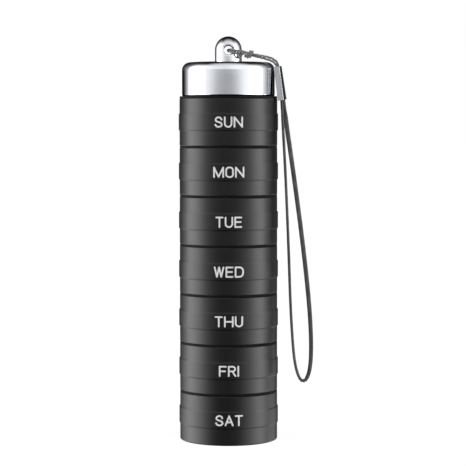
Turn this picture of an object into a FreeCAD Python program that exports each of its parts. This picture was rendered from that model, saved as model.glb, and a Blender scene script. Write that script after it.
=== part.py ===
import FreeCAD, Part
import math
import os

os.makedirs("parts", exist_ok=True)
V = FreeCAD.Vector

# Stack of seven screw-together day cups with a screw cap, an eye post and a
# wrist lanyard.  Millimetres.  +Z runs up the stack, -Y is the front (day
# names), the origin is the centre of the base.

# ---------------------------------------------------------------- dimensions
PITCH = 15.0            # height from one screw joint to the next
FIRST_JOINT = 15.3      # height of the lowest joint plane
CUPS = ["cup_sat", "cup_fri", "cup_thu", "cup_wed", "cup_tue", "cup_mon", "cup_sun"]

R_BODY = 15.0           # turned outside of a cup
R_BAND = 15.25          # raised band that carries the day name
BAND_HALF = 2.53        # half height of the band
BAND_SLOPE = 0.14       # half height of the band's sloping shoulder
R_EDGE = 0.28           # rounding of the body's rims

SEAL_T = 0.5            # thickness of a seal ring between two cups
SEAL_T_CAP = 0.6        # thickness of the seal ring under the cap
R_SEAL_IN = 12.5
R_SEAL_OUT = 14.95      # the rings show as thin black lines round the stack

R_NECK = 12.4           # root of the male thread
R_MALE = 12.85          # crest of the male thread
R_FEMALE_ROOT = 13.05   # root of the female thread
R_FEMALE = 12.6         # crest of the female thread
R_CAVITY = 11.4         # pill compartment
NECK_H = 4.4            # neck height above the shoulder
RECESS_H = 5.0          # depth of the threaded recess above the joint plane
FLOOR_T = 1.2           # floor of a cup
BASE_T = 2.0            # floor of the lowest cup
CAVITY_FILLET = 1.2

STARTS = 2              # thread starts
LEAD = 3.0              # rise in one turn
TURNS = 0.9             # length of each start, in turns
CREST_W = 0.45          # crest width of a thread ridge
FLANK = math.radians(30.0)
MALE_Z = 0.80           # first male ridge above the joint plane
FEMALE_Z = MALE_Z + LEAD / STARTS / 2.0

R_CAP = 14.2
CAP_TOP = 116.0
CAP_R_TOP = 2.4         # rounding of the cap's top edge
CAP_R_LOW = 0.5
CAP_ROOF = 2.2
R_POST = 4.1            # eye post on the cap
POST_EYE_Z = 119.7      # height of the eye
DOME_Z = 119.85         # height of the domed end's centre
R_EYE = 1.43
EYE_ROUND = 0.42        # rounding of the eye's mouths
R_STUD = 2.0
STUD_LOW = 111.2
NUT_AF = 7.0
NUT_H = 2.2

D_STRING = 0.70         # thin string, one strand
D_LOOP = 0.90           # round tube with the section of the flat braid
KNOT_R = 1.15

# ------------------------------------------------------------------- helpers


def profile(points):
    """Closed wire in the XZ plane from (r, z, fillet) corners."""
    n = len(points)
    starts, ends, edges = [], [], []
    for i, (r, z, f) in enumerate(points):
        p = V(r, 0, z)
        if f <= 0:
            starts.append(p)
            ends.append(p)
            continue
        a = V(points[i - 1][0], 0, points[i - 1][1]) - p
        b = V(points[(i + 1) % n][0], 0, points[(i + 1) % n][1]) - p
        a.normalize()
        b.normalize()
        ang = math.acos(max(-1.0, min(1.0, a.dot(b))))
        d = f / math.tan(ang / 2.0)
        s, e = p + a * d, p + b * d
        bis = a + b
        bis.normalize()
        c = p + bis * (f / math.sin(ang / 2.0))
        m = c - bis * f
        edges.append((i, Part.Arc(s, m, e).toShape()))
        starts.append(s)
        ends.append(e)
    arcs = dict(edges)
    out = []
    for i in range(n):
        if i in arcs:
            out.append(arcs[i])
        nxt = (i + 1) % n
        if (starts[nxt] - ends[i]).Length > 1e-7:
            out.append(Part.LineSegment(ends[i], starts[nxt]).toShape())
    return Part.Wire(out)


def turned(points):
    """Solid of revolution about Z."""
    return Part.Face(profile(points)).revolve(V(0, 0, 0), V(0, 0, 1), 360)


def ridge(r_base, r_crest, z0, start_deg):
    """One start of a thread: a trapezoid swept along a helix."""
    grow = abs(r_crest - r_base) * math.tan(FLANK)
    hc = CREST_W / 2.0
    hb = hc + grow
    helix = Part.makeHelix(LEAD, LEAD * TURNS, 0.5 * (r_base + r_crest))
    section = Part.makePolygon([V(r_base, 0, -hb), V(r_crest, 0, -hc), V(r_crest, 0, hc),
                                V(r_base, 0, hb), V(r_base, 0, -hb)])
    solid = Part.Wire(helix.Edges).makePipeShell([section], True, True)
    if solid.Volume < 0:
        solid.reverse()
    solid.rotate(V(0, 0, 0), V(0, 0, 1), start_deg)
    solid.translate(V(0, 0, z0))
    return solid


def male_ridges(joint_z):
    return [ridge(R_NECK - 0.3, R_MALE, joint_z + MALE_Z, 360.0 / STARTS * k)
            for k in range(STARTS)]


def female_ridges(joint_z):
    return [ridge(R_FEMALE_ROOT + 0.3, R_FEMALE, joint_z + FEMALE_Z, 360.0 / STARTS * k)
            for k in range(STARTS)]


def cup_outline(z_low, z_mid, z_sh, z_joint_top, low_edge):
    """Right-hand side of a cup, from the low outer edge to the cavity."""
    return [
        (R_BODY, z_low, low_edge),
        (R_BODY, z_mid - BAND_HALF - BAND_SLOPE, 0.12),
        (R_BAND, z_mid - BAND_HALF + BAND_SLOPE, 0.12),
        (R_BAND, z_mid + BAND_HALF - BAND_SLOPE, 0.12),
        (R_BODY, z_mid + BAND_HALF + BAND_SLOPE, 0.12),
        (R_BODY, z_sh, R_EDGE),
        (R_NECK, z_sh, 0),
        (R_NECK, z_sh + NECK_H, 0),
        (R_NECK - 0.3, z_sh + NECK_H + 0.3, 0),
        (R_CAVITY + 0.15, z_sh + NECK_H + 0.3, 0),
        (R_CAVITY, z_sh + NECK_H + 0.15, 0),
    ]


def cup(joint_low):
    """A cup whose lower joint plane is at joint_low."""
    z0 = joint_low + SEAL_T / 2.0
    z_sh = joint_low + PITCH - SEAL_T / 2.0
    floor_low = joint_low + RECESS_H
    pts = cup_outline(z0, joint_low + PITCH / 2.0, z_sh, joint_low + PITCH, R_EDGE)
    pts += [
        (R_CAVITY, floor_low + FLOOR_T, CAVITY_FILLET),
        (0, floor_low + FLOOR_T, 0),
        (0, floor_low, 0),
        (R_FEMALE_ROOT, floor_low, 0),
        (R_FEMALE_ROOT, z0 + 0.35, 0),
        (R_FEMALE_ROOT + 0.35, z0, 0),
    ]
    body = turned(pts)
    return body.fuse(male_ridges(joint_low + PITCH) + female_ridges(joint_low))


def base_cup():
    z_sh = FIRST_JOINT - SEAL_T / 2.0
    pts = cup_outline(0.0, FIRST_JOINT - PITCH / 2.0, z_sh, FIRST_JOINT, 0.4)
    pts += [
        (R_CAVITY, BASE_T, CAVITY_FILLET),
        (0, BASE_T, 0),
        (0, 0.0, 0),
    ]
    body = turned(pts)
    return body.fuse(male_ridges(FIRST_JOINT))


def seal(z0, t, r_out):
    """Flat seal ring round the root of a neck, with a rounded outer edge."""
    r = 0.12
    return turned([(R_SEAL_IN, z0, 0), (r_out, z0, r), (r_out, z0 + t, r),
                   (R_SEAL_IN, z0 + t, 0)])


def round_route(points, label=None):
    """Wire of straight runs joined by tangent arcs, one arc to a corner."""
    p = [V(*q) for q in points]
    n = len(p)
    runs = [(p[i + 1] - p[i]).Length for i in range(n - 1)]
    edges = []
    here = p[0]
    radii = []
    for i in range(1, n - 1):
        u = p[i] - p[i - 1]
        w = p[i + 1] - p[i]
        u.normalize()
        w.normalize()
        turn = math.acos(max(-1.0, min(1.0, u.dot(w))))
        cut = 0.45 * min(runs[i - 1], runs[i])
        rad = cut / math.tan(turn / 2.0)
        radii.append((round(rad, 2), round(math.degrees(turn), 1)))
        s = p[i] - u * cut
        e = p[i] + w * cut
        bis = w - u
        bis.normalize()
        m = p[i] + bis * (rad / math.cos(turn / 2.0) - rad)
        if (s - here).Length > 1e-6:
            edges.append(Part.LineSegment(here, s).toShape())
        edges.append(Part.Arc(s, m, e).toShape())
        here = e
    edges.append(Part.LineSegment(here, p[-1]).toShape())
    if label:
        print(label, "bend radii (mm, turn deg):", radii)
    return Part.Wire(edges)


def tube(points, d, label):
    path = round_route(points, label)
    start = path.Edges[0]
    p0 = start.valueAt(start.FirstParameter)
    t0 = start.tangentAt(start.FirstParameter)
    ring = Part.Wire([Part.Circle(p0, t0, d / 2.0).toShape()])
    solid = path.makePipeShell([ring], True, False)
    if solid.Volume < 0:
        solid.reverse()
    print(label, "length", round(path.Length, 2), "volume", round(solid.Volume, 3),
          "section x length", round(math.pi * d * d / 4.0 * path.Length, 3),
          "valid", solid.isValid())
    return solid


nodes = {}

# ---------------------------------------------------------------------- cups
nodes["cup_sat"] = base_cup()
master = cup(0.0)
for k, name in enumerate(CUPS[1:]):
    c = master.copy()
    c.translate(V(0, 0, FIRST_JOINT + PITCH * k))
    nodes[name] = c

# --------------------------------------------------------------- seal rings
JOINTS = [FIRST_JOINT + PITCH * k for k in range(7)]
for k, z in enumerate(JOINTS):
    low = z - SEAL_T / 2.0
    if k < 6:
        nodes["seal_ring_%d" % (k + 1)] = seal(low, SEAL_T, R_SEAL_OUT)
    else:
        nodes["seal_ring_cap"] = seal(low, SEAL_T_CAP, R_SEAL_OUT)

# ----------------------------------------------------------------------- cap
top_joint = JOINTS[6]
cap_low = top_joint - SEAL_T / 2.0 + SEAL_T_CAP
ceiling = CAP_TOP - CAP_ROOF
cap = turned([
    (R_FEMALE_ROOT + 0.3, cap_low, 0),
    (R_CAP, cap_low, CAP_R_LOW),
    (R_CAP, CAP_TOP, CAP_R_TOP),
    (R_STUD + 0.1, CAP_TOP, 0),
    (R_STUD + 0.1, ceiling, 0),
    (R_CAVITY, ceiling, 0.8),
    (R_CAVITY, top_joint + RECESS_H, 0),
    (R_FEMALE_ROOT, top_joint + RECESS_H, 0),
    (R_FEMALE_ROOT, cap_low + 0.3, 0),
])
nodes["cap_shell"] = cap.fuse(female_ridges(top_joint))

# -------------------------------------------------------- eye post and its nut
half = Part.Wire([
    Part.LineSegment(V(0, 0, STUD_LOW), V(R_STUD - 0.2, 0, STUD_LOW)).toShape(),
    Part.LineSegment(V(R_STUD - 0.2, 0, STUD_LOW), V(R_STUD, 0, STUD_LOW + 0.2)).toShape(),
    Part.LineSegment(V(R_STUD, 0, STUD_LOW + 0.2), V(R_STUD, 0, CAP_TOP)).toShape(),
    Part.LineSegment(V(R_STUD, 0, CAP_TOP), V(R_POST, 0, CAP_TOP)).toShape(),
    Part.LineSegment(V(R_POST, 0, CAP_TOP), V(R_POST, 0, DOME_Z)).toShape(),
    Part.Arc(V(R_POST, 0, DOME_Z),
             V(R_POST * math.sin(math.pi / 4), 0, DOME_Z + R_POST * math.cos(math.pi / 4)),
             V(0, 0, DOME_Z + R_POST)).toShape(),
    Part.LineSegment(V(0, 0, DOME_Z + R_POST), V(0, 0, STUD_LOW)).toShape(),
])
post = Part.Face(half).revolve(V(0, 0, 0), V(0, 0, 1), 360)
eye = Part.makeCylinder(R_EYE, 12.0, V(0, -6, POST_EYE_Z), V(0, 1, 0))
post = post.cut(eye)
mouth = []
for e in post.Edges:
    far = [math.hypot(v.X, v.Z - POST_EYE_Z) for v in e.Vertexes]
    mid = e.valueAt(0.5 * (e.FirstParameter + e.LastParameter))
    far.append(math.hypot(mid.x, mid.z - POST_EYE_Z))
    if abs(mid.y) > 2.0 and all(abs(q - R_EYE) < 1e-4 for q in far):
        mouth.append(e)
print("eye mouth edges", len(mouth))
nodes["lanyard_post"] = post.makeFillet(EYE_ROUND, mouth)

hexpts = [V(NUT_AF / math.sqrt(3) * math.cos(math.radians(60 * i)),
            NUT_AF / math.sqrt(3) * math.sin(math.radians(60 * i)), ceiling - NUT_H)
          for i in range(7)]
nut = Part.Face(Part.makePolygon(hexpts)).extrude(V(0, 0, NUT_H))
r_c = NUT_AF / math.sqrt(3)
nut = nut.common(turned([(0, ceiling - NUT_H, 0), (r_c - 0.45, ceiling - NUT_H, 0),
                         (r_c + 0.05, ceiling - NUT_H + 0.3, 0), (r_c + 0.05, ceiling, 0),
                         (0, ceiling, 0)]))
nut = nut.cut(Part.makeCylinder(R_STUD + 0.05, 10, V(0, 0, ceiling - NUT_H - 3)))
nodes["post_nut"] = nut

# ------------------------------------------------------------------- lanyard
# Ferrule: a flat sleeve folded from sheet metal and crimped on the string and
# on the braid.  It lies with one wide face towards the cap, widens downwards,
# and has a shallow mouth at each end and a fold seam on the face by the cap.
FERRULE_TOP = (15.00, -4.02, 114.64)
FERRULE_LOW = (16.40, -3.60, 104.47)
FERRULE_FACES = 72.0            # direction of the outer wide face, degrees from the front
FERRULE_TOP_T, FERRULE_TOP_W = 1.78, 2.66
FERRULE_LOW_T, FERRULE_LOW_W = 1.90, 3.28
FERRULE_WALL = 0.18
FERRULE_R = 0.10                # sharply folded edges
MOUTH_TOP, MOUTH_LOW = 1.00, 1.20
ft = V(*FERRULE_TOP)
fb = V(*FERRULE_LOW)
up = ft - fb
f_len = up.Length
up.normalize()
out_n = V(math.sin(math.radians(FERRULE_FACES)), -math.cos(math.radians(FERRULE_FACES)), 0)
out_n = out_n - up * up.dot(out_n)
out_n.normalize()
out_f = up.cross(out_n)
if out_f.y > 0:
    out_f = out_f * -1.0


def rounded(centre, t, w, r):
    """Rounded rectangle, t across the wide faces and w along them."""
    ht, hw = t / 2.0, w / 2.0

    def q(a, b):
        return centre + out_n * a + out_f * b

    k = r * (1.0 - math.sqrt(0.5))
    edges = []
    corners = [(1, 1), (-1, 1), (-1, -1), (1, -1)]
    for i, (sa, sb) in enumerate(corners):
        na, nb = corners[(i + 1) % 4]
        if i % 2 == 0:
            edges.append(Part.Arc(q(sa * ht, sb * (hw - r)), q(sa * (ht - k), sb * (hw - k)),
                                  q(sa * (ht - r), sb * hw)).toShape())
            edges.append(Part.LineSegment(q(sa * (ht - r), sb * hw), q(na * (ht - r), nb * hw)).toShape())
        else:
            edges.append(Part.Arc(q(sa * (ht - r), sb * hw), q(sa * (ht - k), sb * (hw - k)),
                                  q(sa * ht, sb * (hw - r))).toShape())
            edges.append(Part.LineSegment(q(sa * ht, sb * (hw - r)), q(na * ht, nb * (hw - r))).toShape())
    return Part.Wire(edges)


ferrule = Part.makeLoft([rounded(fb, FERRULE_LOW_T, FERRULE_LOW_W, FERRULE_R),
                         rounded(ft, FERRULE_TOP_T, FERRULE_TOP_W, FERRULE_R)], True, True)
if ferrule.Volume < 0:
    ferrule.reverse()
mouth_top = Part.Face(rounded(ft, FERRULE_TOP_T - 2 * FERRULE_WALL, FERRULE_TOP_W - 2 * FERRULE_WALL,
                              0.10)).extrude(up * -MOUTH_TOP)
mouth_low = Part.Face(rounded(fb, FERRULE_LOW_T - 2 * FERRULE_WALL, FERRULE_LOW_W - 2 * FERRULE_WALL,
                              0.10)).extrude(up * MOUTH_LOW)
seam_t = FERRULE_LOW_T / 2.0
seam_c = [fb - out_n * (seam_t - 0.08) - up * 0.5, ft - out_n * (FERRULE_TOP_T / 2.0 - 0.08) + up * 0.5]


def seam_wire(c):
    return Part.makePolygon([c + out_f * 0.06, c - out_f * 0.06, c - out_f * 0.06 - out_n * 0.5,
                             c + out_f * 0.06 - out_n * 0.5, c + out_f * 0.06])


seam = Part.makeLoft([seam_wire(seam_c[0]), seam_wire(seam_c[1])], True, True)
nodes["lanyard_ferrule"] = ferrule.cut(mouth_top).cut(mouth_low).cut(seam)

# String: one strand that leaves the ferrule, runs to the knot, goes through
# the eye, comes round the right side of the post, droops in front of it, goes
# through the eye again, round the right side and back through the knot.
STRING = [
    (15.39, -4.14, 113.65),
    (15.24, -4.18, 114.70),
    (14.92, -4.14, 115.76),
    (14.18, -4.05, 116.60),
    (12.84, -4.05, 117.34),
    (10.30, -3.90, 117.90),
    (8.20, -3.60, 118.24),
    (6.50, -3.55, 118.60),
    (4.90, -3.85, 118.98),
    (3.30, -4.20, 119.38),
    (1.85, -4.45, 119.68),
    (0.75, -3.95, 119.93),
    (0.66, -1.80, 119.80),
    (0.66, 1.80, 119.42),
    (0.75, 4.10, 119.28),
    (2.10, 4.60, 119.12),
    (3.70, 3.30, 118.90),
    (4.62, 1.25, 118.72),
    (4.66, -0.70, 118.66),
    (4.36, -1.86, 118.52),
    (4.00, -2.44, 118.16),
    (3.76, -2.78, 117.66),
    (3.54, -3.22, 117.34),
    (3.30, -3.76, 117.40),
    (3.08, -4.14, 117.84),
    (2.74, -4.28, 118.38),
    (2.16, -4.22, 118.74),
    (1.38, -4.40, 118.97),
    (0.50, -3.95, 119.19),
    (-0.02, -2.02, 119.30),
    (-0.15, 1.80, 119.82),
    (0.10, 3.95, 120.05),
    (1.45, 4.75, 119.98),
    (3.40, 4.05, 119.72),
    (4.95, 2.05, 119.35),
    (5.80, -0.45, 118.90),
    (6.45, -2.45, 118.35),
    (8.05, -3.05, 117.78),
    (10.10, -3.52, 117.22),
    (12.15, -3.98, 116.60),
    (13.38, -4.30, 116.12),
    (14.14, -4.55, 115.54),
    (14.70, -4.73, 114.66),
    (14.91, -4.71, 113.65),
]
nodes["lanyard_string"] = tube(STRING, D_STRING, "string")
nodes["lanyard_knot"] = Part.makeSphere(KNOT_R, V(6.44, -3.12, 118.42))

# Wrist loop: both ends enter the lower end of the ferrule.
LOOP = [
    (16.10, -3.63, 105.66),
    (16.38, -3.60, 102.40),
    (16.54, -3.61, 98.00),
    (16.92, -3.66, 91.40),
    (17.54, -3.78, 79.50),
    (18.46, -3.90, 57.50),
    (18.98, -3.86, 41.50),
    (19.56, -3.80, 32.00),
    (19.96, -3.74, 27.00),
    (20.36, -3.68, 24.00),
    (20.86, -3.61, 21.60),
    (21.58, -3.52, 19.50),
    (22.38, -3.46, 18.32),
    (23.48, -3.41, 18.30),
    (24.20, -3.36, 19.30),
    (24.98, -3.27, 21.75),
    (25.42, -3.15, 26.40),
    (25.25, -3.05, 35.20),
    (24.36, -2.95, 46.50),
    (22.42, -2.95, 63.50),
    (20.04, -3.10, 81.00),
    (18.66, -3.28, 90.60),
    (17.90, -3.24, 95.60),
    (17.40, -3.12, 99.60),
    (17.19, -2.98, 102.72),
    (16.75, -2.89, 105.66),
]
nodes["wrist_loop"] = tube(LOOP, D_LOOP, "loop")

# ------------------------------------------------------------------- output
for name, shape in nodes.items():
    if shape.ShapeType == "Compound" and len(shape.Solids) == 1:
        shape = shape.Solids[0]
    print("%-18s %-9s solids %d valid %s volume %.2f" % (
        name, shape.ShapeType, len(shape.Solids), shape.isValid(), shape.Volume))
    shape.exportStep("parts/%s.step" % name)
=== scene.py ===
import math
import random

import bpy
import numpy as np
from mathutils import Matrix, Vector


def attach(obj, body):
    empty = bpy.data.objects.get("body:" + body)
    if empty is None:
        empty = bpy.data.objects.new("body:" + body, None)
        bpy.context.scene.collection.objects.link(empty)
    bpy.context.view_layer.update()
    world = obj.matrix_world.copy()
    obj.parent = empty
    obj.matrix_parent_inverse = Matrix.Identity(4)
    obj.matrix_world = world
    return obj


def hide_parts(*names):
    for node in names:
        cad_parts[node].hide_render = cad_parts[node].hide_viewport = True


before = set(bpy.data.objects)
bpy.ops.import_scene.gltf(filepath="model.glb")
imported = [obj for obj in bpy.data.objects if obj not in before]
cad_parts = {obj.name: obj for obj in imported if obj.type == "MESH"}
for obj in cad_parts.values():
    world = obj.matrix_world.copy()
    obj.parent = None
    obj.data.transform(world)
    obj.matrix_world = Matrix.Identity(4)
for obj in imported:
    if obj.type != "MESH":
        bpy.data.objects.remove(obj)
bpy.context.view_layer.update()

scene = bpy.context.scene
MM = 0.001

# =============================================================== camera
cam_data = bpy.data.cameras.new("camera")
cam_data.sensor_width = 36.0
cam_data.lens = 145.21
cam_data.clip_start = 0.01
cam_data.clip_end = 60.0
cam = bpy.data.objects.new("camera", cam_data)
scene.collection.objects.link(cam)
cam.matrix_world = (Matrix.Translation((0.0, -0.57788, 0.09941))
                    @ Matrix.Rotation(-0.00239, 4, "Z")
                    @ Matrix.Rotation(math.radians(90.0 - 3.541), 4, "X")
                    @ Matrix.Rotation(-0.00083, 4, "Z"))
scene.camera = cam
scene.view_settings.view_transform = "Standard"
scene.view_settings.look = "None"
scene.view_settings.exposure = 0.0
scene.view_settings.gamma = 1.0


# =============================================================== node helpers
class Tree:
    """A few short calls over a node tree."""

    def __init__(self, tree):
        self.t = tree
        tree.nodes.clear()

    def n(self, kind, **props):
        node = self.t.nodes.new(kind)
        for k, v in props.items():
            setattr(node, k, v)
        return node

    def link(self, a, b):
        self.t.links.new(a, b)

    def put(self, sock, value):
        if hasattr(value, "is_output"):
            self.link(value, sock)
        elif value is not None:
            sock.default_value = value

    def math(self, op, a, b=None, c=None, clamp=False):
        m = self.n("ShaderNodeMath", operation=op, use_clamp=clamp)
        self.put(m.inputs[0], a)
        self.put(m.inputs[1], b)
        self.put(m.inputs[2], c)
        return m.outputs[0]

    def ramp(self, fac, stops, mode="LINEAR"):
        r = self.n("ShaderNodeValToRGB")
        r.color_ramp.interpolation = mode
        els = r.color_ramp.elements
        while len(els) < len(stops):
            els.new(0.5)
        for e, (p, c) in zip(els, stops):
            e.position = p
            e.color = (c, c, c, 1) if isinstance(c, (int, float)) else (*c, 1)
        self.link(fac, r.inputs[0])
        return r.outputs[0]

    def mix(self, fac, a, b):
        m = self.n("ShaderNodeMix", data_type="RGBA")
        self.put(m.inputs[0], fac)
        self.put(m.inputs[6], a)
        self.put(m.inputs[7], b)
        return m.outputs[2]

    def mapped(self, sock, scale, offset=(0, 0, 0)):
        m = self.n("ShaderNodeMapping")
        m.inputs["Scale"].default_value = scale
        m.inputs["Location"].default_value = offset
        self.link(sock, m.inputs["Vector"])
        return m.outputs[0]

    def noise(self, vec, scale, detail=4.0, rough=0.5, dist=0.0):
        m = self.n("ShaderNodeTexNoise")
        m.inputs["Scale"].default_value = scale
        m.inputs["Detail"].default_value = detail
        m.inputs["Roughness"].default_value = rough
        m.inputs["Distortion"].default_value = dist
        self.link(vec, m.inputs["Vector"])
        return m.outputs["Fac"]

    def bump(self, height, strength, distance, normal=None):
        m = self.n("ShaderNodeBump")
        m.inputs["Strength"].default_value = strength
        m.inputs["Distance"].default_value = distance
        self.link(height, m.inputs["Height"])
        if normal is not None:
            self.link(normal, m.inputs["Normal"])
        return m.outputs[0]

    def remap(self, sock, a, b, c, d):
        m = self.n("ShaderNodeMapRange")
        for i, v in enumerate((a, b, c, d)):
            m.inputs[i + 1].default_value = v
        self.link(sock, m.inputs[0])
        return m.outputs[0]


def new_material(name):
    m = bpy.data.materials.new(name)
    m.use_nodes = True
    t = Tree(m.node_tree)
    out = t.n("ShaderNodeOutputMaterial")
    bsdf = t.n("ShaderNodeBsdfPrincipled")
    t.link(bsdf.outputs[0], out.inputs[0])
    co = t.n("ShaderNodeTexCoord").outputs["Object"]
    return m, t, bsdf, co


# =============================================================== world
# A soft studio: bright panels at both sides, grey in front, dark behind.  Seen
# directly it is plain white.
world = bpy.data.worlds.new("studio")
scene.world = world
world.use_nodes = True
w = Tree(world.node_tree)
w_out = w.n("ShaderNodeOutputWorld")
direction = w.n("ShaderNodeTexCoord").outputs["Generated"]
sep = w.n("ShaderNodeSeparateXYZ")
w.link(direction, sep.inputs[0])
dx, dy, dz = sep.outputs
azim = w.math("ARCTAN2", dx, w.math("MULTIPLY", dy, -1.0))       # 0 front, + to the right
azim01 = w.math("MULTIPLY_ADD", azim, 1.0 / (2 * math.pi), 0.5)
elev = w.math("ARCSINE", dz)

def ring(stops, top):
    """Brightness round the horizon: (azimuth in degrees, value) stops."""
    r = w.ramp(azim01, [((az + 180.0) / 360.0, v / top) for az, v in stops])
    return w.math("MULTIPLY", r, top)


def blend(a, b, fac):
    return w.math("ADD", w.math("MULTIPLY", a, w.math("SUBTRACT", 1.0, fac)), w.math("MULTIPLY", b, fac))


def between(low_deg, high_deg):
    return w.remap(elev, math.radians(low_deg), math.radians(high_deg), 0.0, 1.0)


elev01 = w.math("MULTIPLY_ADD", elev, 1.0 / math.pi, 0.5)
SIDE = [(-151, .005), (-146, .02), (-140.6, .062), (-133.8, .19), (-127.9, .385), (-122.5, .63), (-117.5, .82),
        (-108.5, 1.04), (-102, 1.13), (-72, 1.16), (-60, 1.065), (-54, .99), (-47, .87), (-39.2, .735), (-31, .585),
        (-23.7, .485), (-8.7, .398), (6.2, .425), (14, .51), (21.2, .63), (29, .80), (36.6, .975), (43, 1.06), (56, 1.15),
        (88, 1.12), (95, .95), (102, .72), (110, .43), (116, .22), (125, .15), (137, .08), (150, .01)]
AT_10 = [(-180, .02), (-155, .03), (-140, .12), (-130, .27), (-120, .55), (-110, .85), (-100, 1.05),
         (-90, 1.1), (-50, 1.08), (-30, .94), (-10, .86), (0, .87), (10, .99), (30, 1.1), (90, 1.06),
         (100, .8), (110, .48), (120, .25), (130, .12), (145, .04), (180, .02)]
AT_35 = [(-180, .02), (-150, .03), (-138, .08), (-130, .16), (-120, .35), (-110, .6), (-100, .8),
         (-90, .95), (-75, 1.05), (-50, 1.04), (-30, .94), (-10, .9), (10, 1.03), (30, 1.1), (75, 1.1),
         (90, .95), (100, .7), (110, .47), (120, .25), (130, .1), (145, .03), (180, .02)]
AT_60 = [(-180, .005), (-150, .005), (-130, .01), (-115, .035), (-102, .10), (-90, .24), (-78, .46), (-66, .63), (-50, .72),
         (-30, .78), (-10, .8), (10, .85), (30, .95), (50, .90), (68, .72), (82, .46), (95, .22), (107, .09),
         (120, .03), (150, .005), (180, .005)]
side = ring(SIDE, 1.2)
# below the horizon the room gets dark, faster in front than at the sides
DOWN = [(-90, .50), (-65, .40), (-45, .14), (-30, .05), (-20, .06), (-14, .10), (-10, .20), (-6, .43),
        (-2.5, .82), (0, 1.0)]
down = w.ramp(elev01, [((a + 90.0) / 180.0, v) for a, v in DOWN])
SLOW = [(-90, .03), (-55, .08), (-42, .16), (-30, .30), (-20, .58), (-12, .92), (-6, 1.0), (10, 1.0), (18, .60), (26, .25),
        (34, .09), (46, 0.0)]
slow = w.ramp(elev01, [((a + 90.0) / 180.0, v) for a, v in SLOW])
sideness = w.remap(w.math("ABSOLUTE", dx), 0.35, 0.85, 0.0, 1.0)
lit = w.math("MULTIPLY", side, blend(down, w.math("MAXIMUM", slow, down), sideness))
lit = blend(lit, ring(AT_10, 1.2), between(1.24, 2.4))
lit = blend(lit, ring(AT_35, 1.2), between(12, 35))
lit = blend(lit, ring(AT_60, 1.2), between(38, 60))
TOP = [(-1, .85), (-.5, .80), (-.38, .77), (-.19, .63), (0, .40), (.12, .25), (.24, .13), (.35, .06), (.48, .02), (1, .02)]
lit = blend(lit, w.ramp(w.math("MULTIPLY_ADD", dy, 0.5, 0.5), [((v + 1) / 2, b) for v, b in TOP]), between(60, 72))
# the two tall light boxes at the sides
BOXES = [(-117, 0.0), (-110, 2.6), (-102, 5.0), (-90, 4.4), (-78, 3.9), (-70, 3.4), (-64, 1.6), (-59, 0.0),
         (50, 0.0), (56, 0.9), (63, 3.0), (72, 4.0), (81, 4.6), (88, 5.4), (92, 2.4), (95, 0.0)]
lit = w.math("ADD", lit, w.math("MULTIPLY", ring(BOXES, 6.0), slow))
# low light from both sides behind, which only the satin barrel catches
LOW = [(-158, 0.0), (-150, 0.5), (-141, 1.5), (-131, 3.2), (-120, 4.0), (-110, 1.9), (-100, 0.0), (-70, 0.0), (-62, 2.4),
       (-54, 2.4), (-42, 0.0), (26, 0.0), (38, 1.5), (52, 3.3), (62, 0.0),
       (95, 0.0), (102, 1.8), (111, 3.5), (122, 3.7), (132, 3.0), (142, 1.7), (149, .6), (156, 0.0)]
BELT = [(-62, 0.0), (-50, .30), (-30, .34), (-22, .65), (-16, 1.0), (-12.5, 1.0), (-8.6, 0.0)]
belt = w.ramp(elev01, [((a + 90.0) / 180.0, v) for a, v in BELT])
lit = w.math("ADD", lit, w.math("MULTIPLY", ring(LOW, 4.0), belt))
bg_env = w.n("ShaderNodeBackground")
w.link(lit, bg_env.inputs["Color"])
bg_env.inputs["Strength"].default_value = 1.0
bg_white = w.n("ShaderNodeBackground")
bg_white.inputs["Color"].default_value = (1, 1, 1, 1)
bg_white.inputs["Strength"].default_value = 1.0
lp = w.n("ShaderNodeLightPath")
mixw = w.n("ShaderNodeMixShader")
w.link(lp.outputs["Is Camera Ray"], mixw.inputs[0])
w.link(bg_env.outputs[0], mixw.inputs[1])
w.link(bg_white.outputs[0], mixw.inputs[2])
w.link(mixw.outputs[0], w_out.inputs[0])

# =============================================================== floor
fm = bpy.data.meshes.new("floor")
S = 6.0
fm.from_pydata([(-S, -S, 0), (S, -S, 0), (S, S, 0), (-S, S, 0)], [], [(0, 1, 2, 3)])
floor = bpy.data.objects.new("floor", fm)
floor.location.z = -0.00005
scene.collection.objects.link(floor)
mat = bpy.data.materials.new("floor_pale")
mat.use_nodes = True
t = Tree(mat.node_tree)
out = t.n("ShaderNodeOutputMaterial")
em = t.n("ShaderNodeEmission")
em.inputs["Strength"].default_value = 0.90
df = t.n("ShaderNodeBsdfDiffuse")
df.inputs["Color"].default_value = (0.22, 0.22, 0.22, 1)
ad = t.n("ShaderNodeAddShader")
t.link(em.outputs[0], ad.inputs[0])
t.link(df.outputs[0], ad.inputs[1])
t.link(ad.outputs[0], out.inputs[0])
fm.materials.append(mat)
floor.visible_glossy = False
floor.visible_diffuse = False

# =============================================================== materials


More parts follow.
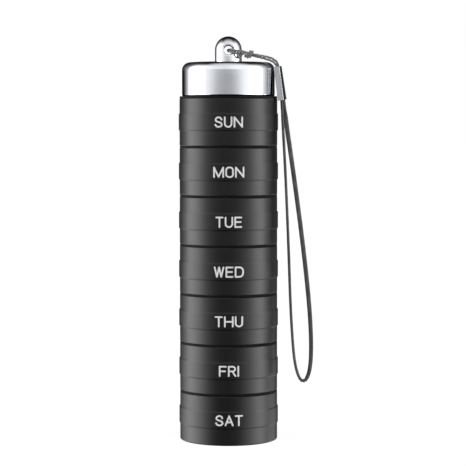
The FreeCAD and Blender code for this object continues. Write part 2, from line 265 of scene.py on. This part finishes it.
def anodised(name):
    """Black anodised aluminium: deep neutral black, satin, with fine turning
    marks round the axis and slightly paler, rubbed rims."""
    m, t, b, co = new_material(name)
    sp = t.n("ShaderNodeSeparateXYZ")
    t.link(co, sp.inputs[0])
    z = sp.outputs[2]
    cloud = t.noise(co, 160.0, 5.0, 0.55)
    fine = t.noise(co, 5200.0, 3.0, 0.6)
    turn = t.noise(t.mapped(co, (90, 90, 9000)), 1.0, 5.0, 0.65)
    # rubbed rims: height within a cup, distance from the joint plane
    k = t.math("FRACT", t.math("MULTIPLY_ADD", z, 1.0 / 0.015, 1.0 - 0.0153 / 0.015))
    dist = t.math("MINIMUM", k, t.math("SUBTRACT", 1.0, k))
    rim = t.remap(dist, 0.016, 0.034, 1.0, 0.0)
    rim = t.math("MULTIPLY", rim, t.remap(cloud, 0.42, 0.68, 0.05, 1.0))
    base = t.mix(t.remap(cloud, 0.3, 0.7, 0.0, 1.0), (0.0014, 0.0014, 0.0014, 1), (0.0028, 0.0028, 0.0028, 1))
    base = t.mix(t.math("MULTIPLY", rim, 0.16), base, (0.03, 0.03, 0.03, 1))
    # the sloping edges of the raised band get softer normals, rounding them in shading,
    # and the upper one gets a paler base colour, a painted highlight
    flat = t.n("ShaderNodeCombineXYZ")
    t.link(sp.outputs[0], flat.inputs[0])
    t.link(sp.outputs[1], flat.inputs[1])
    size = t.n("ShaderNodeVectorMath")
    size.operation = "LENGTH"
    t.link(flat.outputs[0], size.inputs[0])
    out = t.n("ShaderNodeVectorMath")
    out.operation = "NORMALIZE"
    t.link(flat.outputs[0], out.inputs[0])
    turned = t.n("ShaderNodeVectorTransform")
    turned.vector_type = "NORMAL"
    turned.convert_from = "OBJECT"
    turned.convert_to = "WORLD"
    t.link(out.outputs[0], turned.inputs[0])
    off = t.math("MULTIPLY", t.math("SUBTRACT", k, 0.5), 15.0)
    edge = t.remap(t.math("ABSOLUTE", t.math("SUBTRACT", t.math("ABSOLUTE", off), 2.53)), 0.17, 0.30, 1.0, 0.0)
    edge = t.math("MULTIPLY", edge, t.remap(size.outputs["Value"], 0.0148, 0.0150, 0.0, 1.0))
    upper = t.remap(off, -0.5, 0.5, 0.0, 1.0)
    # painted highlight: the upper sloping edge of the band gets a paler base colour
    base = t.mix(t.math("MULTIPLY", edge, upper), base, (0.009, 0.009, 0.009, 1))
    t.link(base, b.inputs["Base Color"])
    geo = t.n("ShaderNodeNewGeometry")
    soft = t.mix(t.math("MULTIPLY", edge, t.remap(upper, 0.0, 1.0, 0.74, 0.80)),
                 geo.outputs["Normal"], turned.outputs[0])
    # the lower one shines a little less
    low = t.math("MULTIPLY", edge, t.math("SUBTRACT", 1.0, upper))
    t.link(t.remap(low, 0.0, 1.0, 0.5, 0.37), b.inputs["Specular IOR Level"])
    r = t.math("ADD", t.remap(cloud, 0.3, 0.7, 0.345, 0.385), t.remap(turn, 0.3, 0.7, -0.03, 0.03))
    t.link(r, b.inputs["Roughness"])
    b.inputs["Metallic"].default_value = 0.0
    b.inputs["IOR"].default_value = 1.45
    b.inputs["Sheen Weight"].default_value = 0.20
    b.inputs["Sheen Roughness"].default_value = 0.25
    n1 = t.bump(turn, 0.10, 0.00004, soft)
    n2 = t.bump(fine, 0.05, 0.00003, n1)
    t.link(n2, b.inputs["Normal"])
    return m


def chrome(name, tint=(0.872, 0.894, 0.945), rough=0.036, ring=True, wear=0.3,
           low_edge=None, streaks=False):
    """Polished chrome plate with faint polishing lines and hairline scratches."""
    m, t, b, co = new_material(name)
    cloud = t.noise(co, 220.0, 4.0, 0.5)
    turn = t.noise(t.mapped(co, (60, 60, 7000)), 1.0, 4.0, 0.6)
    hair = t.noise(t.mapped(co, (900, 260, 5200), (0.3, 0.1, 0.7)), 1.0, 6.0, 0.75, 0.6)
    tone = t.mix(t.remap(cloud, 0.35, 0.65, 0.0, 1.0), (*[c * 0.965 for c in tint], 1), (*tint, 1))
    if streaks:
        drawn = t.noise(t.mapped(co, (2100, 2100, 45)), 1.0, 3.0, 0.6)
        tone = t.mix(t.remap(drawn, 0.36, 0.62, 0.0, 1.0), (*[c * 0.80 for c in tint], 1), tone)
    t.link(tone, b.inputs["Base Color"])
    b.inputs["Metallic"].default_value = 1.0
    if low_edge is not None:
        sp = t.n("ShaderNodeSeparateXYZ")
        t.link(co, sp.inputs[0])
        # painted shade: the base colour turns near black along the lowest edge, just above low_edge
        painted_edge_shade = t.remap(sp.outputs[2], low_edge + 0.00016, low_edge + 0.00045, 0.06, 1.0)
        t.link(t.mix(painted_edge_shade, (0.03, 0.03, 0.032, 1), tone), b.inputs["Base Color"])
    r = t.math("ADD", t.remap(cloud, 0.35, 0.7, rough * 0.8, rough * 1.25),
               t.math("MULTIPLY", t.remap(hair, 0.62, 0.8, 0.0, 0.09), wear))
    t.link(r, b.inputs["Roughness"])
    n1 = t.bump(turn if ring else cloud, 0.035, 0.00002)
    n2 = t.bump(hair, 0.03 * wear, 0.00002, n1)
    t.link(n2, b.inputs["Normal"])
    return m


def rubber(name):
    m, t, b, co = new_material(name)
    c = t.noise(co, 900.0, 4.0, 0.6)
    t.link(t.mix(c, (0.0015, 0.0015, 0.0015, 1), (0.0045, 0.0045, 0.0045, 1)), b.inputs["Base Color"])
    t.link(t.remap(c, 0.3, 0.7, 0.55, 0.72), b.inputs["Roughness"])
    b.inputs["Specular IOR Level"].default_value = 0.12
    t.link(t.bump(t.noise(co, 4200.0, 3.0), 0.15, 0.00005), b.inputs["Normal"])
    return m


def plated_steel(name):
    m, t, b, co = new_material(name)
    c = t.noise(co, 700.0, 4.0, 0.6)
    br = t.noise(t.mapped(co, (4500, 300, 300)), 1.0, 4.0)
    t.link(t.mix(c, (0.42, 0.43, 0.45, 1), (0.60, 0.61, 0.63, 1)), b.inputs["Base Color"])
    b.inputs["Metallic"].default_value = 1.0
    t.link(t.remap(c, 0.3, 0.7, 0.28, 0.42), b.inputs["Roughness"])
    t.link(t.bump(br, 0.12, 0.00003), b.inputs["Normal"])
    return m


def fibre(name, dark, light, scale=1.0):
    """Twisted polyester yarn: fine fibres, soft sheen, paler where it is rubbed."""
    m, t, b, co = new_material(name)
    big = t.noise(co, 420.0 * scale, 3.0, 0.5)
    fib = t.noise(co, 6500.0 * scale, 4.0, 0.65)
    mixf = t.math("ADD", t.math("MULTIPLY", big, 0.45), t.math("MULTIPLY", fib, 0.55))
    t.link(t.mix(t.remap(mixf, 0.35, 0.66, 0.0, 1.0), (*dark, 1), (*light, 1)), b.inputs["Base Color"])
    t.link(t.remap(fib, 0.3, 0.7, 0.55, 0.8), b.inputs["Roughness"])
    b.inputs["Sheen Weight"].default_value = 0.35
    b.inputs["Sheen Roughness"].default_value = 0.4
    t.link(t.bump(fib, 0.5, 0.00004), b.inputs["Normal"])
    return m


def ink(name):
    m, t, b, co = new_material(name)
    c = t.noise(co, 2600.0, 4.0, 0.6)
    t.link(t.mix(t.remap(c, 0.3, 0.75, 0.0, 1.0), (0.84, 0.84, 0.835, 1), (0.60, 0.60, 0.60, 1)),
           b.inputs["Base Color"])
    t.link(t.remap(c, 0.3, 0.7, 0.42, 0.58), b.inputs["Roughness"])
    t.link(t.bump(t.noise(co, 9000.0, 3.0), 0.12, 0.00002), b.inputs["Normal"])
    return m


M_BLACK = anodised("anodised_black")
M_CHROME = chrome("polished_chrome", low_edge=0.10565)
M_POST = chrome("polished_chrome_post", tint=(0.895, 0.905, 0.935), rough=0.07, wear=0.3)
M_FERRULE = chrome("ferrule_plate", tint=(0.80, 0.815, 0.86), rough=0.04, ring=False, wear=1.2, streaks=True)
M_RUBBER = rubber("seal_rubber")
M_STEEL = plated_steel("nut_steel")
M_STRING = fibre("string_fibre", (0.085, 0.085, 0.085), (0.29, 0.29, 0.29))
M_BRAID = fibre("braid_fibre", (0.040, 0.040, 0.040), (0.150, 0.150, 0.150))
M_INK = ink("day_name_ink")


def paint(node, material):
    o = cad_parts[node]
    if not o.material_slots:
        o.data.materials.append(material)
    for s in o.material_slots:
        s.material = material


CUPS = ["cup_sat", "cup_fri", "cup_thu", "cup_wed", "cup_tue", "cup_mon", "cup_sun"]
for c in CUPS:
    paint(c, M_BLACK)
for i in range(1, 7):
    paint("seal_ring_%d" % i, M_RUBBER)
paint("seal_ring_cap", M_RUBBER)
paint("cap_shell", M_CHROME)
paint("lanyard_post", M_POST)
paint("post_nut", M_STEEL)
paint("lanyard_ferrule", M_FERRULE)

# =============================================================== mesh helpers


def add_mesh(name, verts, faces, material, smooth=True):
    me = bpy.data.meshes.new(name)
    me.from_pydata([tuple(v) for v in verts], [], faces)
    me.update()
    if smooth:
        me.polygons.foreach_set("use_smooth", [True] * len(me.polygons))
    me.materials.append(material)
    ob = bpy.data.objects.new(name, me)
    scene.collection.objects.link(ob)
    return ob


def nurbs_path(name, points_mm, res=20):
    """Points along the smooth line of a route: a NURBS spline of order 3."""
    cu = bpy.data.curves.new(name, "CURVE")
    cu.dimensions = "3D"
    sp = cu.splines.new("NURBS")
    sp.points.add(len(points_mm) - 1)
    for p, q in zip(sp.points, points_mm):
        p.co = (q[0] * MM, q[1] * MM, q[2] * MM, 1.0)
    sp.order_u = 3
    sp.use_endpoint_u = True
    sp.resolution_u = res
    cu.resolution_u = res
    ob = bpy.data.objects.new(name, cu)
    scene.collection.objects.link(ob)
    bpy.context.view_layer.update()
    me = bpy.data.meshes.new_from_object(ob)
    pts = np.array([v.co[:] for v in me.vertices])
    bpy.data.objects.remove(ob)
    bpy.data.curves.remove(cu)
    bpy.data.meshes.remove(me)
    return pts


def thin(pts, step):
    """The read points at least a step apart, with their distance along the line."""
    keep = [0]
    for i in range(1, len(pts)):
        if np.linalg.norm(pts[i] - pts[keep[-1]]) >= step:
            keep.append(i)
    if keep[-1] != len(pts) - 1:
        keep[-1] = len(pts) - 1
    out = pts[keep]
    seg = np.linalg.norm(np.diff(out, axis=0), axis=1)
    return out, np.concatenate([[0], np.cumsum(seg)])


def frames(pts, first=None):
    """Tangents and a pair of side directions carried along the line without twist."""
    tan = np.gradient(pts, axis=0)
    tan /= np.linalg.norm(tan, axis=1)[:, None]
    u = np.array(first if first is not None else (0, 1, 0), float)
    U = np.zeros_like(pts)
    for i, tt in enumerate(tan):
        u = u - tt * u.dot(tt)
        u /= np.linalg.norm(u)
        U[i] = u
    return tan, U, np.cross(tan, U)


def tube_mesh(lines, radius, sides, closed_line=False):
    """Round tubes along several lines, each a closed skin."""
    verts, faces = [], []
    for li, line in enumerate(lines):
        r_all = radius if np.ndim(radius) else np.full(len(line), radius)
        tan, U, W = frames(line, (0.31, 0.83, 0.46))
        base = len(verts)
        n = len(line)
        for i in range(n):
            for k in range(sides):
                a = 2 * math.pi * k / sides
                verts.append(line[i] + (U[i] * math.cos(a) + W[i] * math.sin(a)) * r_all[i])
        last = n if closed_line else n - 1
        for i in range(last):
            j = (i + 1) % n
            shift = 0
            if closed_line and j == 0:
                d = [np.linalg.norm(verts[base + (n - 1) * sides] - verts[base + k]) for k in range(sides)]
                shift = int(np.argmin(d))
            for k in range(sides):
                k2 = (k + 1) % sides
                faces.append((base + i * sides + k, base + i * sides + k2,
                              base + j * sides + (k2 + shift) % sides, base + j * sides + (k + shift) % sides))
        if not closed_line:
            faces.append(tuple(base + k for k in reversed(range(sides))))
            faces.append(tuple(base + (n - 1) * sides + k for k in range(sides)))
    return verts, faces


# =============================================================== day names
# Plain stroke letters.  Each stroke is a list of points (mm) on the letter's
# centre lines, HGT tall; STROKE is the width of the ink.
STROKE = 0.50
HGT = 2.85
GAP = 0.88


def arc(cx, cy, rx, ry, a0, a1, n=10):
    return [(cx + rx * math.cos(math.radians(a0 + (a1 - a0) * i / n)),
             cy + ry * math.sin(math.radians(a0 + (a1 - a0) * i / n))) for i in range(n + 1)]


def spline2(points, n=5):
    """Smooth line through the points (Catmull-Rom)."""
    p = [np.array(q, float) for q in points]
    p = [2 * p[0] - p[1]] + p + [2 * p[-1] - p[-2]]
    out = []
    for i in range(1, len(p) - 2):
        for j in range(n):
            s = j / n
            out.append(0.5 * ((2 * p[i]) + (p[i + 1] - p[i - 1]) * s
                              + (2 * p[i - 1] - 5 * p[i] + 4 * p[i + 1] - p[i + 2]) * s * s
                              + (3 * p[i] - p[i - 1] - 3 * p[i + 1] + p[i + 2]) * s ** 3))
    out.append(p[-2])
    return [tuple(q) for q in out]


H = HGT
LETTERS = {
    "S": (2.00, [spline2([(1.90, 2.16), (1.62, 2.66), (1.05, 2.85), (0.45, 2.68), (0.10, 2.20),
                          (0.30, 1.72), (0.95, 1.46), (1.62, 1.22), (2.00, 0.72), (1.72, 0.20),
                          (1.05, 0.00), (0.38, 0.16), (0.00, 0.66)])]),
    "U": (2.02, [[(0, H), (0, 1.0)] + arc(1.01, 1.0, 1.01, 1.0, 180, 360, 16)[1:] + [(2.02, H)]]),
    "N": (2.35, [[(0, 0), (0, H)], [(0, H), (2.35, 0)], [(2.35, 0), (2.35, H)]]),
    "M": (2.80, [[(0, 0), (0, H)], [(0, H), (1.40, 0.05)], [(1.40, 0.05), (2.80, H)], [(2.80, H), (2.80, 0)]]),
    "O": (2.05, [arc(1.20, H - 0.85, 0.85, 0.85, 0, 90, 8) + arc(0.85, H - 0.85, 0.85, 0.85, 90, 180, 8)
                 + arc(0.85, 0.85, 0.85, 0.85, 180, 270, 8) + arc(1.20, 0.85, 0.85, 0.85, 270, 360, 8)
                 + [(2.05, H - 0.85)]]),
    "T": (1.93, [[(0, H), (1.93, H)], [(0.965, H), (0.965, 0)]]),
    "E": (1.87, [[(0, H), (0, 0)], [(0, H), (1.87, H)], [(0, 1.48), (1.70, 1.48)], [(0, 0), (1.87, 0)]]),
    "W": (2.70, [[(0, H), (0.70, 0)], [(0.70, 0), (1.35, H)], [(1.35, H), (2.00, 0)], [(2.00, 0), (2.70, H)]]),
    "D": (2.32, [[(0, 0), (0, H)], [(0, H), (1.20, H)] + arc(1.20, H - 1.12, 1.12, 1.12, 90, 0, 9)[1:]
                 + arc(1.20, 1.12, 1.12, 1.12, 0, -90, 9) + [(0, 0)]]),
    "H": (2.38, [[(0, 0), (0, H)], [(2.38, 0), (2.38, H)], [(0, 1.45), (2.38, 1.45)]]),
    "F": (1.87, [[(0, H), (0, 0)], [(0, H), (1.87, H)], [(0, 1.45), (1.62, 1.45)]]),
    "R": (2.00, [[(0, 0), (0, H)], [(0, H), (1.20, H)] + arc(1.20, H - 0.71, 0.71, 0.71, 90, -90, 12)[1:]
                 + [(0, H - 1.42)], [(1.10, H - 1.42), (2.00, 0)]]),
    "I": (0.0, [[(0, 0), (0, H)]]),
    "A": (2.22, [[(0, 0), (1.11, H)], [(1.11, H), (2.22, 0)], [(0.40, 0.95), (1.82, 0.95)]]),
}


def densify(line, step=0.22):
    out = [np.array(line[0], float)]
    for a, b in zip(line[:-1], line[1:]):
        a, b = np.array(a, float), np.array(b, float)
        n = max(1, int(math.ceil(np.linalg.norm(b - a) / step)))
        for i in range(1, n + 1):
            out.append(a + (b - a) * i / n)
    return out


def ink_stroke(line, verts, faces, place, lift):
    """A stroke of ink: slightly domed, with round ends, sunk into the metal."""
    pts = densify(line)
    closed = np.linalg.norm(pts[0] - pts[-1]) < 1e-6
    if closed:
        pts = pts[:-1]
    n = len(pts)
    hw = STROKE / 2.0
    prof = [(-1.0, -0.02), (-1.0, 0.004), (-0.86, 0.013), (-0.45, 0.019), (0.0, 0.021),
            (0.45, 0.019), (0.86, 0.013), (1.0, 0.004), (1.0, -0.02)]
    rows = []

    def row(p, nrm, scale=1.0, shift=0.0, tan=None):
        idx = []
        for s, h in prof:
            q = p + nrm * (s * hw * scale)
            if tan is not None:
                q = q + tan * shift
            hh = h if h < 0 else h * (0.25 + 0.75 * scale)
            idx.append(len(verts))
            verts.append(place(q[0], q[1], hh + lift))
        rows.append(idx)

    tans = []
    for i in range(n):
        a = pts[i - 1] if (i > 0 or closed) else pts[i]
        b = pts[(i + 1) % n] if (i < n - 1 or closed) else pts[i]
        d = b - a
        tans.append(d / np.linalg.norm(d))
    if not closed:
        for ang in (82, 62, 40, 20):
            a = math.radians(ang)
            tn = tans[0]
            row(pts[0], np.array((-tn[1], tn[0])), math.cos(a), -hw * math.sin(a), tn)
    for p, tn in zip(pts, tans):
        row(p, np.array((-tn[1], tn[0])))
    if not closed:
        for ang in (20, 40, 62, 82):
            a = math.radians(ang)
            tn = tans[-1]
            row(pts[-1], np.array((-tn[1], tn[0])), math.cos(a), hw * math.sin(a), tn)
    k = len(prof)
    m = len(rows)
    for i in range(m if closed else m - 1):
        r0, r1 = rows[i], rows[(i + 1) % m]
        for j in range(k):
            faces.append((r0[j], r0[(j + 1) % k], r1[(j + 1) % k], r1[j]))
    if not closed:
        faces.append(tuple(reversed(rows[0])))
        faces.append(tuple(rows[-1]))


R_BAND = 15.25
WORDS = [("sat", "SAT", "base_cup", 7.80), ("fri", "FRI", "fri_cup", 22.80), ("thu", "THU", "thu_cup", 37.80),
         ("wed", "WED", "wed_cup", 52.80), ("tue", "TUE", "tue_cup", 67.80), ("mon", "MON", "mon_cup", 82.80),
         ("sun", "SUN", "sun_cup", 97.80)]
for tag, word, body, zc in WORDS:
    widths = [LETTERS[ch][0] for ch in word]
    total = sum(widths) + GAP * (len(word) - 1)
    x = -total / 2.0 + 0.10
    verts, faces = [], []

    def place(px, pz, h, zc=zc):
        a = px / R_BAND
        r = R_BAND + h
        return (r * math.sin(a) * MM, -r * math.cos(a) * MM, (zc - HGT / 2.0 + pz) * MM)

    step = 0
    for ch, wd in zip(word, widths):
        for line in LETTERS[ch][1]:
            ink_stroke([(x + q[0], q[1]) for q in line], verts, faces, place, 0.0012 * (step % 4))
            step += 1
        x += wd + GAP
    name_ob = add_mesh("day_name_%s" % tag, verts, faces, M_INK)
    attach(name_ob, body)

# =============================================================== string
# Route of one strand (mm): ferrule, knot, through the eye, round the right side
# of the post, a droop in front of it, through the eye again, knot, ferrule.
STRING = [
    (15.39, -4.14, 113.65),
    (15.24, -4.18, 114.70),
    (14.92, -4.14, 115.76),
    (14.18, -4.05, 116.60),
    (12.84, -4.05, 117.34),
    (10.30, -3.90, 117.90),
    (8.20, -3.60, 118.24),
    (6.50, -3.55, 118.60),
    (4.90, -3.85, 118.98),
    (3.30, -4.20, 119.38),
    (1.85, -4.45, 119.68),
    (0.75, -3.95, 119.93),
    (0.66, -1.80, 119.80),
    (0.66, 1.80, 119.42),
    (0.75, 4.10, 119.28),
    (2.10, 4.60, 119.12),
    (3.70, 3.30, 118.90),
    (4.62, 1.25, 118.72),
    (4.66, -0.70, 118.66),
    (4.36, -1.86, 118.52),
    (4.00, -2.44, 118.16),
    (3.76, -2.78, 117.66),
    (3.54, -3.22, 117.34),
    (3.30, -3.76, 117.40),
    (3.08, -4.14, 117.84),
    (2.74, -4.28, 118.38),
    (2.16, -4.22, 118.74),
    (1.38, -4.40, 118.97),
    (0.50, -3.95, 119.19),
    (-0.02, -2.02, 119.30),
    (-0.15, 1.80, 119.82),
    (0.10, 3.95, 120.05),
    (1.45, 4.75, 119.98),
    (3.40, 4.05, 119.72),
    (4.95, 2.05, 119.35),
    (5.80, -0.45, 118.90),
    (6.45, -2.45, 118.35),
    (8.05, -3.05, 117.78),
    (10.10, -3.52, 117.30),
    (12.15, -3.98, 116.72),
    (13.38, -4.30, 116.22),
    (14.14, -4.55, 115.62),
    (14.70, -4.73, 114.66),
    (14.91, -4.71, 113.65),
]
line_s, s_s = thin(nurbs_path("string_route", STRING, 48), 0.07 * MM)


def plies(path, s, count, offset, pitch, first=(0, 0, 1)):
    """Lines of the plies twisted round a path."""
    tan, U, W = frames(path, first)
    res = []
    for k in range(count):
        a = 2 * math.pi * (s / pitch + k / count)
        res.append(path + (U * np.cos(a)[:, None] + W * np.sin(a)[:, None]) * offset)
    return res


verts, faces = tube_mesh(plies(line_s, s_s, 3, 0.163 * MM, 4.6 * MM), 0.190 * MM, 8)
string_ob = add_mesh("lanyard_string_plies", verts, faces, M_STRING)
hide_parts("lanyard_string")
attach(string_ob, "cap")

# knot: the doubled string makes two turns side by side round itself, pulled
# tight, leaning so that the turns stand out at the upper right and lower left
KNOT_C = np.array((6.46, -3.02, 118.36)) * MM
axis = np.array((0.965, 0.10, -0.242))
axis /= np.linalg.norm(axis)
kup = np.array((0.0, 0.0, 1.0)) - axis * axis[2]
kup /= np.linalg.norm(kup)
kfront = np.cross(kup, axis)
kfront *= -1.0 if kfront[1] > 0 else 1.0
phi = np.linspace(math.radians(-150), math.radians(-150 + 360 * 2.25), 190)
u = (phi - phi[0]) / (phi[-1] - phi[0])
tuck = np.clip(np.minimum(u, 1 - u) / 0.11, 0, 1)
tuck = 0.45 + 0.55 * tuck * tuck * (3 - 2 * tuck)
kn = (KNOT_C + (kup * (1.06 * np.sin(phi) * tuck)[:, None] + kfront * (1.00 * np.cos(phi) * tuck)[:, None]
                + axis * ((u - 0.5) * 1.62 + 0.40 * np.sin(phi))[:, None]) * MM)
s_k = np.concatenate([[0], np.cumsum(np.linalg.norm(np.diff(kn, axis=0), axis=1))])
verts, faces = tube_mesh(plies(kn, s_k, 3, 0.163 * MM, 4.6 * MM), 0.190 * MM, 8)
knot_ob = add_mesh("lanyard_knot_plies", verts, faces, M_STRING)
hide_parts("lanyard_knot")
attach(knot_ob, "cap")

# =============================================================== wrist loop
LOOP = [
    (16.10, -3.63, 105.66),
    (16.38, -3.60, 102.40),
    (16.54, -3.61, 98.00),
    (16.92, -3.66, 91.40),
    (17.54, -3.78, 79.50),
    (18.46, -3.90, 57.50),
    (18.98, -3.86, 41.50),
    (19.56, -3.80, 32.00),
    (19.96, -3.74, 27.00),
    (20.36, -3.68, 24.00),
    (20.86, -3.61, 21.60),
    (21.58, -3.52, 19.50),
    (22.38, -3.46, 18.32),
    (23.48, -3.41, 18.30),
    (24.20, -3.36, 19.30),
    (24.98, -3.27, 21.75),
    (25.42, -3.15, 26.40),
    (25.25, -3.05, 35.20),
    (24.36, -2.95, 46.50),
    (22.42, -2.95, 63.50),
    (20.04, -3.10, 81.00),
    (18.66, -3.28, 90.60),
    (17.90, -3.24, 95.60),
    (17.40, -3.12, 99.60),
    (17.19, -2.98, 102.72),
    (16.75, -2.89, 105.66),
]
LOOP_W = 1.58
LOOP_T = 0.99
line, s_l = thin(nurbs_path("loop_route", LOOP, 220), 0.10 * MM)
total = s_l[-1]
tan_l = np.gradient(line, axis=0)
tan_l /= np.linalg.norm(tan_l, axis=1)[:, None]
# width direction: edge-on (along Y) down the left side and round the bend,
# turning flat-on up the right side, and edge-on again at the ferrule
face_y = np.tile(np.array((0.0, 1.0, 0.0)), (len(line), 1))
in_plane = np.cross(tan_l, face_y)
f = s_l / total
ang = np.interp(f, [0.486, 0.497, 0.511, 0.537, 0.607, 0.686, 0.78, 0.952, 0.961, 0.979, 0.988],
                [0, 12, 37, 50, 66, 80, 90, 90, 78, 12, 0])
ang = np.radians(ang + 5.0 * np.sin(f * 17.0))
Wd = face_y * np.cos(ang)[:, None] + in_plane * np.sin(ang)[:, None]
Wd -= tan_l * np.sum(Wd * tan_l, axis=1)[:, None]
Wd /= np.linalg.norm(Wd, axis=1)[:, None]
Nd = np.cross(tan_l, Wd)
ply_r = 0.150
amp = 0.060
A = LOOP_W / 2 - ply_r - amp
B = LOOP_T / 2 - ply_r - amp
pitch = 2.5 * MM
om = 2 * math.pi / pitch
strands = []
for d in (1, -1):
    for k in range(4):
        th = d * om * s_l + k * math.pi / 2
        rr = d * amp * np.cos(4 * om * s_l)
        strands.append(line + (Wd * ((A + rr) * np.cos(th))[:, None] + Nd * ((B + rr) * np.sin(th))[:, None]) * MM)
verts, faces = tube_mesh(strands, ply_r * MM, 6)
# core
core_n = 10
base = len(verts)
for i in range(len(line)):
    for k in range(core_n):
        a = 2 * math.pi * k / core_n
        verts.append(line[i] + (Wd[i] * (A * 1.0) * math.cos(a) + Nd[i] * (B * 1.0) * math.sin(a)) * MM)
for i in range(len(line) - 1):
    for k in range(core_n):
        k2 = (k + 1) % core_n
        faces.append((base + i * core_n + k, base + i * core_n + k2,
                      base + (i + 1) * core_n + k2, base + (i + 1) * core_n + k))
faces.append(tuple(base + k for k in reversed(range(core_n))))
faces.append(tuple(base + (len(line) - 1) * core_n + k for k in range(core_n)))
loop_ob = add_mesh("wrist_loop_braid", verts, faces, M_BRAID)
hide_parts("wrist_loop")
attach(loop_ob, "cap")


def length_of(pts):
    return float(np.sum(np.linalg.norm(np.diff(pts, axis=0), axis=1)))


print("string length mm", round(length_of(line_s) * 1000, 2), "loop length mm", round(length_of(line) * 1000, 2))
tuple(float(v) for v in line_s[0])
[tuple(p) for p in line_s]
tuple(float(v) for v in line[0])
[tuple(p) for p in line]
